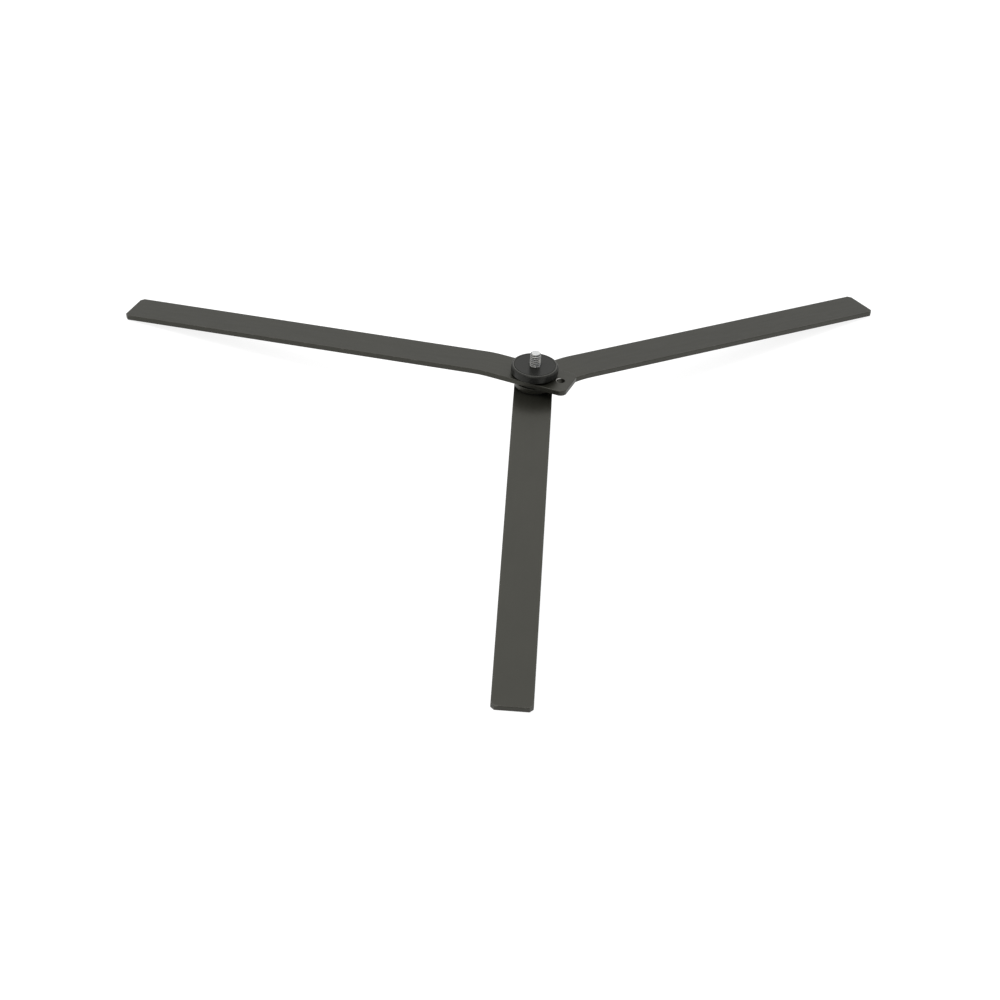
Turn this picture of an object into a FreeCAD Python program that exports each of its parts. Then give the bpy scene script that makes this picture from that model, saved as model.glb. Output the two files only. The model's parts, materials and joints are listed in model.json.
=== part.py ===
import FreeCAD, Part
import math
import os
import Sketcher

# A low folding tripod: three flat steel legs stacked on one upright bolt, held by a round clamp
# disc. The bolt's threaded end stands out of the disc and carries whatever is screwed onto it.
#
# Frame: the origin is the middle of the disc's top face, on the bolt's axis. +Z is up from the
# floor and the bottom leg points along -Y. The legs are alike but lie one above the other, so
# the bolt leans about a degree when all three tips touch the floor.

# ---------------------------------------------------------------- driving sizes, mm and degrees

SIZES = (
    ("legWidth", 22.2),
    ("legThickness", 3.2),
    ("legReach", 262.0),
    ("legSlope", 7.0),
    ("legEdgeRound", 0.4),
    ("bendDistance", 29.3),
    ("bendRadius", 80.0),
    ("tipChamfer", 2.0),
    ("tabReach", 23.0),
    ("tabCornerRadius", 4.0),
    ("tetherHoleDistance", 16.3),
    ("tetherHoleDiameter", 4.8),
    ("bottomHeading", -90.0),
    ("middleHeading", 39.1),
    ("topHeading", 159.85),
    ("boltDiameter", 6.2),
    ("boltRise", 8.0),
    ("boltEndChamfer", 0.6),
    ("freeEndNeckDepth", 0.3),
    ("freeEndNeckHeight", 0.8),
    ("boltHeadDiameter", 14.4),
    ("boltHeadHeight", 3.6),
    ("neckOversize", 0.2),
    ("boltNeckHeight", 2.9),
    ("neckClearance", 0.05),
    ("pivotClearance", 0.08),
    ("threadClearance", 0.05),
    ("washerClearance", 0.2),
    ("spacerDiameter", 20.0),
    ("spacerThickness", 0.9),
    ("pressureWasherDiameter", 18.0),
    ("pressureWasherThickness", 1.2),
    ("washerEdgeChamfer", 0.15),
    ("discDiameter", 27.3),
    ("discThickness", 4.8),
    ("discRimWidth", 1.8),
    ("discGrooveWidth", 0.35),
    ("discGrooveDepth", 0.3),
    ("discShoulderRadius", 1.1),
    ("discFootChamfer", 0.5),
    ("discBoreChamfer", 0.5),
)

document = FreeCAD.newDocument("FoldingStand")
sheet = document.addObject("Spreadsheet::Sheet", "Sizes")
for row, (alias, value) in enumerate(SIZES, start=1):
    sheet.set("A%d" % row, alias)
    sheet.set("B%d" % row, str(value))
    sheet.setAlias("B%d" % row, alias)
document.recompute()


def size(alias):
    """A driving size as a plain number."""
    return float(sheet.get(alias))


# ---------------------------------------------------------------- helpers for bodies and sketches

# The sketcher's own numbers for a curve's points, for the two axes and for the origin.
START, END, CENTRE = 1, 2, 3
HORIZONTAL_AXIS, VERTICAL_AXIS = -1, -2
ORIGIN = (-1, 1)

SMALL = 0.01


def new_body(name):
    body = document.addObject("PartDesign::Body", name)
    body.Label = name
    return body


def new_sketch(body, name, plane):
    """A sketch on one of the body's own origin planes."""
    sketch = body.newObject("Sketcher::SketchObject", name)
    planes = [feature for feature in body.Origin.OriginFeatures if feature.Role == plane]
    sketch.AttachmentSupport = [(planes[0], "")]
    sketch.MapMode = "FlatFace"
    return sketch


def bind(sketch, name, formula, *constraint):
    """Add a sized constraint, name it and tie it to the sheet."""
    index = sketch.addConstraint(Sketcher.Constraint(*constraint))
    sketch.renameConstraint(index, name)
    sketch.setExpression("Constraints." + name, formula)


def line(sketch, start, end):
    return sketch.addGeometry(
        Part.LineSegment(FreeCAD.Vector(start[0], start[1], 0), FreeCAD.Vector(end[0], end[1], 0))
    )


def arc(sketch, centre, radius, first_degrees, last_degrees):
    circle = Part.Circle(FreeCAD.Vector(centre[0], centre[1], 0), FreeCAD.Vector(0, 0, 1), radius)
    return sketch.addGeometry(
        Part.ArcOfCircle(circle, math.radians(first_degrees), math.radians(last_degrees))
    )


def ring_about_origin(sketch, name, diameter, formula):
    """A circle round the sketch's origin, its diameter tied to the sheet."""
    ring = sketch.addGeometry(
        Part.Circle(FreeCAD.Vector(0, 0, 0), FreeCAD.Vector(0, 0, 1), diameter / 2)
    )
    sketch.addConstraint(Sketcher.Constraint("Coincident", ring, CENTRE, *ORIGIN))
    bind(sketch, name, formula, "Diameter", ring, diameter)


def square_about_origin(sketch, width, formula):
    """A square centred on the sketch's origin, its width tied to the sheet."""
    half = width / 2
    corners = [(-half, -half), (half, -half), (half, half), (-half, half)]
    sides = [line(sketch, corners[i], corners[(i + 1) % 4]) for i in range(4)]
    for i, direction in enumerate(("Horizontal", "Vertical", "Horizontal", "Vertical")):
        sketch.addConstraint(Sketcher.Constraint("Coincident", sides[i], END, sides[(i + 1) % 4], START))
        sketch.addConstraint(Sketcher.Constraint(direction, sides[i]))
    sketch.addConstraint(Sketcher.Constraint("Symmetric", sides[0], START, sides[2], START, *ORIGIN))
    bind(sketch, "width", formula, "DistanceX", sides[0], START, sides[0], END, width)
    bind(sketch, "depth", formula, "DistanceY", sides[1], START, sides[1], END, width)


def pocket_through(body, name, sketch):
    """Cut a sketch right through the body, both ways from its plane."""
    before = body.Shape.Volume
    pocket = body.newObject("PartDesign::Pocket", name)
    pocket.Profile = sketch
    pocket.Type = "ThroughAll"
    pocket.SideType = "Symmetric"
    document.recompute()
    if body.Shape.Volume >= before:
        raise RuntimeError(name + " cut nothing")


def revolve(body, name, sketch):
    """Turn a half outline once round the body's Z axis."""
    turn = body.newObject("PartDesign::Revolution", name)
    turn.Profile = sketch
    turn.ReferenceAxis = (sketch, ["V_Axis"])
    turn.Angle = 360.0
    document.recompute()


# ---------------------------------------------------------------- legs

def leg_profile(body, back, back_formula):
    """The bar's side view: level round the bolt, one bend, then straight down to the tip."""
    thickness = size("legThickness")
    slope = math.radians(size("legSlope"))
    inner = size("bendRadius")
    outer = inner + thickness
    centre_x = size("bendDistance") - outer * math.tan(slope / 2)
    along = (math.cos(slope), -math.sin(slope))
    square = (math.sin(slope), math.cos(slope))
    bend_out = (centre_x + outer * square[0], -outer + outer * square[1])
    bend_in = (centre_x + inner * square[0], -outer + inner * square[1])
    run = (size("legReach") - bend_out[0]) / along[0]
    tip_top = (bend_out[0] + run * along[0], bend_out[1] + run * along[1])
    tip_low = (tip_top[0] - thickness * square[0], tip_top[1] - thickness * square[1])
    centre = (centre_x, -outer)
    level, steep = 90.0, 90.0 - size("legSlope")

    sketch = new_sketch(body, "SideView", "XZ_Plane")
    hub_top = line(sketch, (-back, 0), (centre_x, 0))
    bend_top = arc(sketch, centre, outer, steep, level)
    outer_top = line(sketch, bend_out, tip_top)
    tip = line(sketch, tip_top, tip_low)
    outer_low = line(sketch, tip_low, bend_in)
    bend_low = arc(sketch, centre, inner, steep, level)
    hub_low = line(sketch, (centre_x, -thickness), (-back, -thickness))
    hub_end = line(sketch, (-back, -thickness), (-back, 0))

    sketch.addConstraint([
        Sketcher.Constraint("Tangent", hub_top, END, bend_top, END),
        Sketcher.Constraint("Tangent", bend_top, START, outer_top, START),
        Sketcher.Constraint("Coincident", outer_top, END, tip, START),
        Sketcher.Constraint("Coincident", tip, END, outer_low, START),
        Sketcher.Constraint("Tangent", outer_low, END, bend_low, START),
        Sketcher.Constraint("Tangent", bend_low, END, hub_low, START),
        Sketcher.Constraint("Coincident", hub_low, END, hub_end, START),
        Sketcher.Constraint("Coincident", hub_end, END, hub_top, START),
        Sketcher.Constraint("Coincident", bend_top, CENTRE, bend_low, CENTRE),
        Sketcher.Constraint("Perpendicular", outer_top, tip),
        Sketcher.Constraint("Perpendicular", tip, outer_low),
        Sketcher.Constraint("Horizontal", hub_top),
        Sketcher.Constraint("Horizontal", hub_low),
        Sketcher.Constraint("Vertical", hub_end),
        Sketcher.Constraint("PointOnObject", hub_top, START, HORIZONTAL_AXIS),
    ])
    bind(sketch, "back", back_formula, "DistanceX", hub_top, START, *ORIGIN, back)
    bind(sketch, "thickness", "Sizes.legThickness", "DistanceY", hub_end, START, hub_end, END, thickness)
    bind(sketch, "innerRadius", "Sizes.bendRadius", "Radius", bend_low, inner)
    bind(
        sketch, "bendCentre",
        "Sizes.bendDistance - (Sizes.bendRadius + Sizes.legThickness) * tan(Sizes.legSlope / 2 * 1 deg)",
        "DistanceX", *ORIGIN, bend_top, CENTRE, centre_x,
    )
    bind(sketch, "reach", "Sizes.legReach", "DistanceX", *ORIGIN, outer_top, END, size("legReach"))
    bind(
        sketch, "drop",
        "(Sizes.legReach - Sizes.bendDistance) * tan(Sizes.legSlope * 1 deg)",
        "DistanceY", outer_top, END, *ORIGIN, -tip_top[1],
    )
    return sketch


def pad_profile(body, sketch):
    pad = body.newObject("PartDesign::Pad", "Bar")
    pad.Profile = sketch
    pad.SideType = "Symmetric"
    pad.setExpression("Length", "Sizes.legWidth")
    document.recompute()


def round_hub_end(body):
    """Trim the end beside the bolt to a half circle as wide as the bar."""
    radius = size("legWidth") / 2
    far = radius + size("legThickness")
    sketch = new_sketch(body, "HubEndWaste", "XY_Plane")
    side = line(sketch, (0, radius), (0, far))
    top = line(sketch, (0, far), (-far, far))
    left = line(sketch, (-far, far), (-far, -far))
    low = line(sketch, (-far, -far), (0, -far))
    other_side = line(sketch, (0, -far), (0, -radius))
    half_round = arc(sketch, (0, 0), radius, 90.0, 270.0)
    sketch.addConstraint([
        Sketcher.Constraint("Coincident", side, END, top, START),
        Sketcher.Constraint("Coincident", top, END, left, START),
        Sketcher.Constraint("Coincident", left, END, low, START),
        Sketcher.Constraint("Coincident", low, END, other_side, START),
        Sketcher.Constraint("Coincident", other_side, END, half_round, END),
        Sketcher.Constraint("Coincident", half_round, START, side, START),
        Sketcher.Constraint("Coincident", half_round, CENTRE, *ORIGIN),
        Sketcher.Constraint("PointOnObject", half_round, START, VERTICAL_AXIS),
        Sketcher.Constraint("PointOnObject", half_round, END, VERTICAL_AXIS),
        Sketcher.Constraint("Horizontal", top),
        Sketcher.Constraint("Horizontal", low),
        Sketcher.Constraint("Vertical", side),
        Sketcher.Constraint("Vertical", other_side),
        Sketcher.Constraint("Symmetric", left, START, left, END, HORIZONTAL_AXIS),
    ])
    bind(sketch, "radius", "Sizes.legWidth / 2", "Radius", half_round, radius)
    bind(sketch, "farSide", "Sizes.legWidth / 2 + Sizes.legThickness",
         "DistanceX", left, START, *ORIGIN, far)
    bind(sketch, "farEnd", "Sizes.legWidth / 2 + Sizes.legThickness",
         "DistanceY", *ORIGIN, left, START, far)
    pocket_through(body, "HubEnd", sketch)


def dress_edges(body, kind, name, edges, size_property, alias):
    """A chamfer or fillet on some edges of the body as it stands, tied to the sheet."""
    base = body.Tip
    feature = body.newObject("PartDesign::" + kind, name)
    feature.Base = (base, ["Edge%d" % number for number in edges])
    feature.setExpression(size_property, "Sizes." + alias)
    body.Tip = feature
    document.recompute()


def corner_edges(body, x_low, x_high):
    """The edges through the bar's thickness that lie between two distances from the bolt."""
    numbers = []
    for number, edge in enumerate(body.Tip.Shape.Edges, start=1):
        box = edge.BoundBox
        through = box.ZLength > size("legThickness") / 2 and box.YLength < SMALL
        if through and edge.Length < size("legThickness") + SMALL:
            if x_low < box.XMin and box.XMax < x_high:
                numbers.append(number)
    return numbers


def chamfer_tip(body):
    """Snip both corners of the tip."""
    near = size("legReach") - size("legThickness")
    edges = corner_edges(body, near, size("legReach") + SMALL)
    dress_edges(body, "Chamfer", "TipCorners", edges, "Size", "tipChamfer")


def round_tab_corners(body):
    """Round both corners of the square tab that the top leg has beyond the bolt."""
    end = -size("tabReach")
    edges = corner_edges(body, end - SMALL, end + SMALL)
    dress_edges(body, "Fillet", "TabCorners", edges, "Radius", "tabCornerRadius")


def soften_edges(body):
    """Take the sharpness off the outline of both broad faces, as drawn bar has it."""
    outline = []
    for number, edge in enumerate(body.Tip.Shape.Edges, start=1):
        box = edge.BoundBox
        bend_line = box.YLength > size("legWidth") - SMALL and box.XLength < SMALL
        corner = box.ZLength > size("legThickness") / 2 and edge.Length < size("legThickness") + SMALL
        if not bend_line and not corner:
            outline.append(number)
    dress_edges(body, "Fillet", "SoftEdges", outline, "Radius", "legEdgeRound")


def bolt_hole(body):
    """The running hole that lets an upper leg turn about the bolt."""
    diameter = size("boltDiameter") + 2 * size("pivotClearance")
    sketch = new_sketch(body, "BoltHoleCircle", "XY_Plane")
    ring_about_origin(sketch, "hole", diameter, "Sizes.boltDiameter + 2 * Sizes.pivotClearance")
    pocket_through(body, "BoltHole", sketch)


def neck_hole(body):
    """The bottom leg's square hole, which holds the bolt's neck so that the bolt can't turn."""
    width = size("boltDiameter") + size("neckOversize") + 2 * size("neckClearance")
    sketch = new_sketch(body, "NeckHoleSquare", "XY_Plane")
    square_about_origin(sketch, width, NECK_WIDTH + " + 2 * Sizes.neckClearance")
    pocket_through(body, "NeckHole", sketch)


def tether_hole(body):
    """The small hole in the tab, for a cord or a ground peg."""
    distance = size("tetherHoleDistance")
    radius = size("tetherHoleDiameter") / 2
    sketch = new_sketch(body, "TetherHoleCircle", "XY_Plane")
    ring = sketch.addGeometry(
        Part.Circle(FreeCAD.Vector(-distance, 0, 0), FreeCAD.Vector(0, 0, 1), radius)
    )
    sketch.addConstraint(Sketcher.Constraint("PointOnObject", ring, CENTRE, HORIZONTAL_AXIS))
    bind(sketch, "distance", "Sizes.tetherHoleDistance", "DistanceX", ring, CENTRE, *ORIGIN, distance)
    bind(sketch, "diameter", "Sizes.tetherHoleDiameter", "Diameter", ring, 2 * radius)
    pocket_through(body, "TetherHole", sketch)


def make_bottom_leg():
    body = new_body("bottom_leg")
    pad_profile(body, leg_profile(body, size("legWidth") / 2, "Sizes.legWidth / 2"))
    round_hub_end(body)
    chamfer_tip(body)
    soften_edges(body)
    neck_hole(body)
    return body


def make_middle_leg():
    body = new_body("middle_leg")
    pad_profile(body, leg_profile(body, size("legWidth") / 2, "Sizes.legWidth / 2"))
    round_hub_end(body)
    chamfer_tip(body)
    soften_edges(body)
    bolt_hole(body)
    return body


def make_top_leg():
    body = new_body("top_leg")
    pad_profile(body, leg_profile(body, size("tabReach"), "Sizes.tabReach"))
    round_tab_corners(body)
    chamfer_tip(body)
    soften_edges(body)
    bolt_hole(body)
    tether_hole(body)
    return body


# ---------------------------------------------------------------- bolt, washers and disc

def make_pivot_bolt():
    """A round-headed bolt with a square neck; its height zero is the head's flat underside.

    A fine neck just under the disc's face parts the free end, which carries the device, from the
    length that runs through the stack.
    """
    body = new_body("pivot_bolt")
    radius = size("boltDiameter") / 2
    head_radius = size("boltHeadDiameter") / 2
    head_height = size("boltHeadHeight")
    rise = bolt_length()
    chamfer = size("boltEndChamfer")
    face_level = rise - size("boltRise")
    neck_radius = radius - size("freeEndNeckDepth")
    neck_foot = face_level - size("freeEndNeckHeight")
    dome_radius = (head_radius ** 2 + head_height ** 2) / (2 * head_height)
    half_angle = math.degrees(math.asin(head_radius / dome_radius))

    sketch = new_sketch(body, "HalfOutline", "XZ_Plane")
    axis = line(sketch, (0, -head_height), (0, rise))
    end = line(sketch, (0, rise), (radius - chamfer, rise))
    end_chamfer = line(sketch, (radius - chamfer, rise), (radius, rise - chamfer))
    free_wall = line(sketch, (radius, rise - chamfer), (radius, face_level))
    neck_top = line(sketch, (radius, face_level), (neck_radius, face_level))
    neck_wall = line(sketch, (neck_radius, face_level), (neck_radius, neck_foot))
    neck_low = line(sketch, (neck_radius, neck_foot), (radius, neck_foot))
    shank = line(sketch, (radius, neck_foot), (radius, 0))
    seat = line(sketch, (radius, 0), (head_radius, 0))
    dome = arc(sketch, (0, dome_radius - head_height), dome_radius, 270.0, 270.0 + half_angle)
    sketch.addConstraint([
        Sketcher.Constraint("Coincident", axis, END, end, START),
        Sketcher.Constraint("Coincident", end, END, end_chamfer, START),
        Sketcher.Constraint("Coincident", end_chamfer, END, free_wall, START),
        Sketcher.Constraint("Coincident", free_wall, END, neck_top, START),
        Sketcher.Constraint("Coincident", neck_top, END, neck_wall, START),
        Sketcher.Constraint("Coincident", neck_wall, END, neck_low, START),
        Sketcher.Constraint("Coincident", neck_low, END, shank, START),
        Sketcher.Constraint("Coincident", shank, END, seat, START),
        Sketcher.Constraint("Coincident", seat, END, dome, END),
        Sketcher.Constraint("Coincident", dome, START, axis, START),
        Sketcher.Constraint("PointOnObject", dome, CENTRE, VERTICAL_AXIS),
        Sketcher.Constraint("PointOnObject", axis, START, VERTICAL_AXIS),
        Sketcher.Constraint("Vertical", axis),
        Sketcher.Constraint("Horizontal", end),
        Sketcher.Constraint("Vertical", free_wall),
        Sketcher.Constraint("Horizontal", neck_top),
        Sketcher.Constraint("Vertical", neck_wall),
        Sketcher.Constraint("Horizontal", neck_low),
        Sketcher.Constraint("Vertical", shank),
        Sketcher.Constraint("Horizontal", seat),
        Sketcher.Constraint("PointOnObject", seat, END, HORIZONTAL_AXIS),
    ])
    bind(sketch, "rise", BOLT_LENGTH, "DistanceY", *ORIGIN, axis, END, rise)
    bind(sketch, "freeRise", "Sizes.boltRise", "DistanceY", free_wall, END, end, START, rise - face_level)
    bind(sketch, "freeRadius", "Sizes.boltDiameter / 2",
         "DistanceX", *ORIGIN, free_wall, START, radius)
    bind(sketch, "shankRadius", "Sizes.boltDiameter / 2", "DistanceX", *ORIGIN, shank, START, radius)
    bind(sketch, "chamferWidth", "Sizes.boltEndChamfer",
         "DistanceX", end, END, free_wall, START, chamfer)
    bind(sketch, "chamferHeight", "Sizes.boltEndChamfer",
         "DistanceY", free_wall, START, end, END, chamfer)
    bind(sketch, "neckDepth", "Sizes.freeEndNeckDepth",
         "DistanceX", neck_top, END, neck_top, START, radius - neck_radius)
    bind(sketch, "neckHeight", "Sizes.freeEndNeckHeight",
         "DistanceY", neck_wall, END, neck_wall, START, face_level - neck_foot)
    bind(sketch, "headRadius", "Sizes.boltHeadDiameter / 2",
         "DistanceX", *ORIGIN, seat, END, head_radius)
    bind(sketch, "headHeight", "Sizes.boltHeadHeight",
         "DistanceY", axis, START, *ORIGIN, head_height)
    revolve(body, "Turned", sketch)

    square = new_sketch(body, "NeckSquare", "XY_Plane")
    square_about_origin(square, size("boltDiameter") + size("neckOversize"), NECK_WIDTH)
    pad = body.newObject("PartDesign::Pad", "Neck")
    pad.Profile = square
    pad.setExpression("Length", "Sizes.boltNeckHeight")
    document.recompute()
    return body


def make_washer(name, diameter_alias, thickness_alias):
    """A flat ring with its outer edges broken; its top face is height zero."""
    body = new_body(name)
    outer = size(diameter_alias)
    inner = size("boltDiameter") + 2 * size("washerClearance")
    sketch = new_sketch(body, "Ring", "XY_Plane")
    ring_about_origin(sketch, "outer", outer, "Sizes." + diameter_alias)
    ring_about_origin(sketch, "inner", inner, "Sizes.boltDiameter + 2 * Sizes.washerClearance")
    pad = body.newObject("PartDesign::Pad", "Blank")
    pad.Profile = sketch
    pad.Reversed = True
    pad.setExpression("Length", "Sizes." + thickness_alias)
    document.recompute()

    rims = [
        number
        for number, edge in enumerate(pad.Shape.Edges, start=1)
        if edge.BoundBox.XLength > outer - SMALL and edge.BoundBox.ZLength < SMALL
    ]
    dress_edges(body, "Chamfer", "BrokenEdges", rims, "Size", "washerEdgeChamfer")
    return body


def make_clamp_disc():
    """The round clamp nut: a plain top face inside a fine groove, a rounded shoulder, a bore."""
    body = new_body("clamp_disc")
    outer = size("discDiameter") / 2
    thickness = size("discThickness")
    face = outer - size("discRimWidth")
    groove_out = face + size("discGrooveWidth")
    groove_floor = -size("discGrooveDepth")
    shoulder = size("discShoulderRadius")
    foot = size("discFootChamfer")
    bore = size("boltDiameter") / 2 + size("threadClearance")
    lead = size("discBoreChamfer")

    sketch = new_sketch(body, "HalfOutline", "XZ_Plane")
    top_face = line(sketch, (bore + lead, 0), (face, 0))
    groove_in = line(sketch, (face, 0), (face, groove_floor))
    groove_low = line(sketch, (face, groove_floor), (groove_out, groove_floor))
    groove_far = line(sketch, (groove_out, groove_floor), (groove_out, 0))
    rim_top = line(sketch, (groove_out, 0), (outer - shoulder, 0))
    round_over = arc(sketch, (outer - shoulder, -shoulder), shoulder, 0.0, 90.0)
    side = line(sketch, (outer, -shoulder), (outer, foot - thickness))
    foot_edge = line(sketch, (outer, foot - thickness), (outer - foot, -thickness))
    underside = line(sketch, (outer - foot, -thickness), (bore + lead, -thickness))
    lower_lead = line(sketch, (bore + lead, -thickness), (bore, lead - thickness))
    bore_wall = line(sketch, (bore, lead - thickness), (bore, -lead))
    upper_lead = line(sketch, (bore, -lead), (bore + lead, 0))
    sketch.addConstraint([
        Sketcher.Constraint("Coincident", top_face, END, groove_in, START),
        Sketcher.Constraint("Coincident", groove_in, END, groove_low, START),
        Sketcher.Constraint("Coincident", groove_low, END, groove_far, START),
        Sketcher.Constraint("Coincident", groove_far, END, rim_top, START),
        Sketcher.Constraint("Tangent", rim_top, END, round_over, END),
        Sketcher.Constraint("Tangent", round_over, START, side, START),
        Sketcher.Constraint("Coincident", side, END, foot_edge, START),
        Sketcher.Constraint("Coincident", foot_edge, END, underside, START),
        Sketcher.Constraint("Coincident", underside, END, lower_lead, START),
        Sketcher.Constraint("Coincident", lower_lead, END, bore_wall, START),
        Sketcher.Constraint("Coincident", bore_wall, END, upper_lead, START),
        Sketcher.Constraint("Coincident", upper_lead, END, top_face, START),
        Sketcher.Constraint("PointOnObject", top_face, START, HORIZONTAL_AXIS),
        Sketcher.Constraint("PointOnObject", rim_top, START, HORIZONTAL_AXIS),
        Sketcher.Constraint("Horizontal", top_face),
        Sketcher.Constraint("Horizontal", rim_top),
        Sketcher.Constraint("Horizontal", groove_low),
        Sketcher.Constraint("Horizontal", underside),
        Sketcher.Constraint("Vertical", groove_in),
        Sketcher.Constraint("Vertical", groove_far),
        Sketcher.Constraint("Vertical", side),
        Sketcher.Constraint("Vertical", bore_wall),
    ])
    lead_radius = "Sizes.boltDiameter / 2 + Sizes.threadClearance"
    bind(sketch, "boreRadius", lead_radius, "DistanceX", *ORIGIN, bore_wall, START, bore)
    bind(sketch, "rimWidth", "Sizes.discRimWidth", "DistanceX", groove_in, START, side, START, outer - face)
    bind(sketch, "grooveWidth", "Sizes.discGrooveWidth",
         "DistanceX", groove_low, START, groove_low, END, groove_out - face)
    bind(sketch, "grooveDepth", "Sizes.discGrooveDepth",
         "DistanceY", groove_in, END, groove_in, START, -groove_floor)
    bind(sketch, "outerRadius", "Sizes.discDiameter / 2", "DistanceX", *ORIGIN, side, START, outer)
    bind(sketch, "shoulder", "Sizes.discShoulderRadius", "Radius", round_over, shoulder)
    bind(sketch, "thickness", "Sizes.discThickness", "DistanceY", underside, START, *ORIGIN, thickness)
    bind(sketch, "footWidth", "Sizes.discFootChamfer", "DistanceX", foot_edge, END, foot_edge, START, foot)
    bind(sketch, "footHeight", "Sizes.discFootChamfer", "DistanceY", foot_edge, END, foot_edge, START, foot)
    bind(sketch, "lowLeadWidth", "Sizes.discBoreChamfer",
         "DistanceX", lower_lead, END, lower_lead, START, lead)
    bind(sketch, "lowLeadHeight", "Sizes.discBoreChamfer",
         "DistanceY", lower_lead, START, lower_lead, END, lead)
    bind(sketch, "topLeadWidth", "Sizes.discBoreChamfer",
         "DistanceX", upper_lead, START, upper_lead, END, lead)
    bind(sketch, "topLeadHeight", "Sizes.discBoreChamfer",
         "DistanceY", upper_lead, START, upper_lead, END, lead)
    revolve(body, "Turned", sketch)
    return body


# ---------------------------------------------------------------- the stack, from the disc down

NECK_WIDTH = "Sizes.boltDiameter + Sizes.neckOversize"
BOLT_LENGTH = (
    "Sizes.boltRise + Sizes.discThickness + Sizes.pressureWasherThickness"
    " + 3 * Sizes.legThickness + 2 * Sizes.spacerThickness"
)


def bolt_length():
    """From the head's flat underside to the bolt's free end."""
    return size("boltRise") - stack_heights()["pivot_bolt"]


def stack_heights():
    """Height of each piece's own zero along the bolt, measured from the disc's top face."""
    order = (
        ("clamp_disc", "discThickness"),
        ("pressure_washer", "pressureWasherThickness"),
        ("top_leg", "legThickness"),
        ("upper_spacer", "spacerThickness"),
        ("middle_leg", "legThickness"),
        ("lower_spacer", "spacerThickness"),
        ("bottom_leg", "legThickness"),
    )
    heights = {}
    level = 0.0
    for name, thickness_alias in order:
        heights[name] = level
        level -= size(thickness_alias)
    heights["pivot_bolt"] = level
    return heights


HEADINGS = {"bottom_leg": "bottomHeading", "middle_leg": "middleHeading", "top_leg": "topHeading"}


def tip_contact(name):
    """The middle of a leg's lowest edge, before the stack is stood on the floor."""
    slope = math.radians(size("legSlope"))
    heading = math.radians(size(HEADINGS[name]))
    drop = (size("legReach") - size("bendDistance")) * math.tan(slope)
    outward = size("legReach") - size("legThickness") * math.sin(slope)
    low = stack_heights()[name] - drop - size("legThickness") * math.cos(slope)
    return FreeCAD.Vector(outward * math.cos(heading), outward * math.sin(heading), low)


def standing_turn():
    """The small turn about the origin that brings all three tips to one level."""
    first, second, third = (tip_contact(name) for name in HEADINGS)
    floor_normal = (second - first).cross(third - first)
    if floor_normal.z < 0:
        floor_normal = -floor_normal
    return FreeCAD.Rotation(floor_normal, FreeCAD.Vector(0, 0, 1))


def place(body):
    """Set a piece at its height and heading in the stack, then stand the stack up."""
    heading = size(HEADINGS[body.Label]) if body.Label in HEADINGS else size("bottomHeading")
    spin = FreeCAD.Rotation(FreeCAD.Vector(0, 0, 1), heading)
    in_stack = FreeCAD.Placement(FreeCAD.Vector(0, 0, stack_heights()[body.Label]), spin)
    standing = FreeCAD.Placement(FreeCAD.Vector(0, 0, 0), standing_turn())
    body.Placement = standing.multiply(in_stack)


bodies = [
    make_bottom_leg(),
    make_middle_leg(),
    make_top_leg(),
    make_pivot_bolt(),
    make_washer("lower_spacer", "spacerDiameter", "spacerThickness"),
    make_washer("upper_spacer", "spacerDiameter", "spacerThickness"),
    make_washer("pressure_washer", "pressureWasherDiameter", "pressureWasherThickness"),
    make_clamp_disc(),
]
for body in bodies:
    place(body)
document.recompute()

# ---------------------------------------------------------------- checks and files

for item in document.Objects:
    if "Invalid" in item.State or "Error" in item.State:
        raise RuntimeError("%s failed: %s" % (item.Label, item.State))
for body in bodies:
    if body.Shape.isNull() or not body.Shape.isValid():
        raise RuntimeError(body.Label + " has no valid shape")

os.makedirs("parts", exist_ok=True)
for body in bodies:
    body.Shape.exportStep("parts/%s.step" % body.Label)
    print("%-16s %9.1f mm3" % (body.Label, body.Shape.Volume))

lean = standing_turn().multVec(FreeCAD.Vector(0, 0, 1))
floor_level = standing_turn().multVec(tip_contact("bottom_leg")).z
print("bolt axis  %.9f %.9f %.9f" % (lean.x, lean.y, lean.z))
print("floor at z %.3f mm, bolt length %.2f mm" % (floor_level, bolt_length()))
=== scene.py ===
# %% [markdown]
# # A folding tripod stand
#
# The stand is three flat steel bars, a bolt, a clamp disc and a few rings. Nothing on it is soft
# or round in two directions, so its looks come from three things: edges that are truly rounded
# and catch the light, a thread that really winds round the bolt, and paint that is satin and a
# little uneven. Each cell below makes one of them.

import json
import math

import bmesh
import bpy
from mathutils import Matrix, Vector


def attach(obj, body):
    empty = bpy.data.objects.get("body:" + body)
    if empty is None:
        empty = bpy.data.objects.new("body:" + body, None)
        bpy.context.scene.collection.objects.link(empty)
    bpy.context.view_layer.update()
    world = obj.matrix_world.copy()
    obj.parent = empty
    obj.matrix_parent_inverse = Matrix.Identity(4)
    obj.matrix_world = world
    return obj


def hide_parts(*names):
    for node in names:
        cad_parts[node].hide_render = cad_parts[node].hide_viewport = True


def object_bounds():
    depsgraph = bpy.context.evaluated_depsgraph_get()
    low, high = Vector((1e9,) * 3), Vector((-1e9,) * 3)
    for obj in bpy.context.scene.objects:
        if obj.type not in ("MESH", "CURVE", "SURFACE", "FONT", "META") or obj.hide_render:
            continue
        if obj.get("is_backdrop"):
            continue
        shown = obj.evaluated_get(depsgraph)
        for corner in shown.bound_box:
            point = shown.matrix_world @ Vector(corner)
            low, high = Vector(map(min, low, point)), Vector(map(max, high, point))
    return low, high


MM = 0.001

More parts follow.
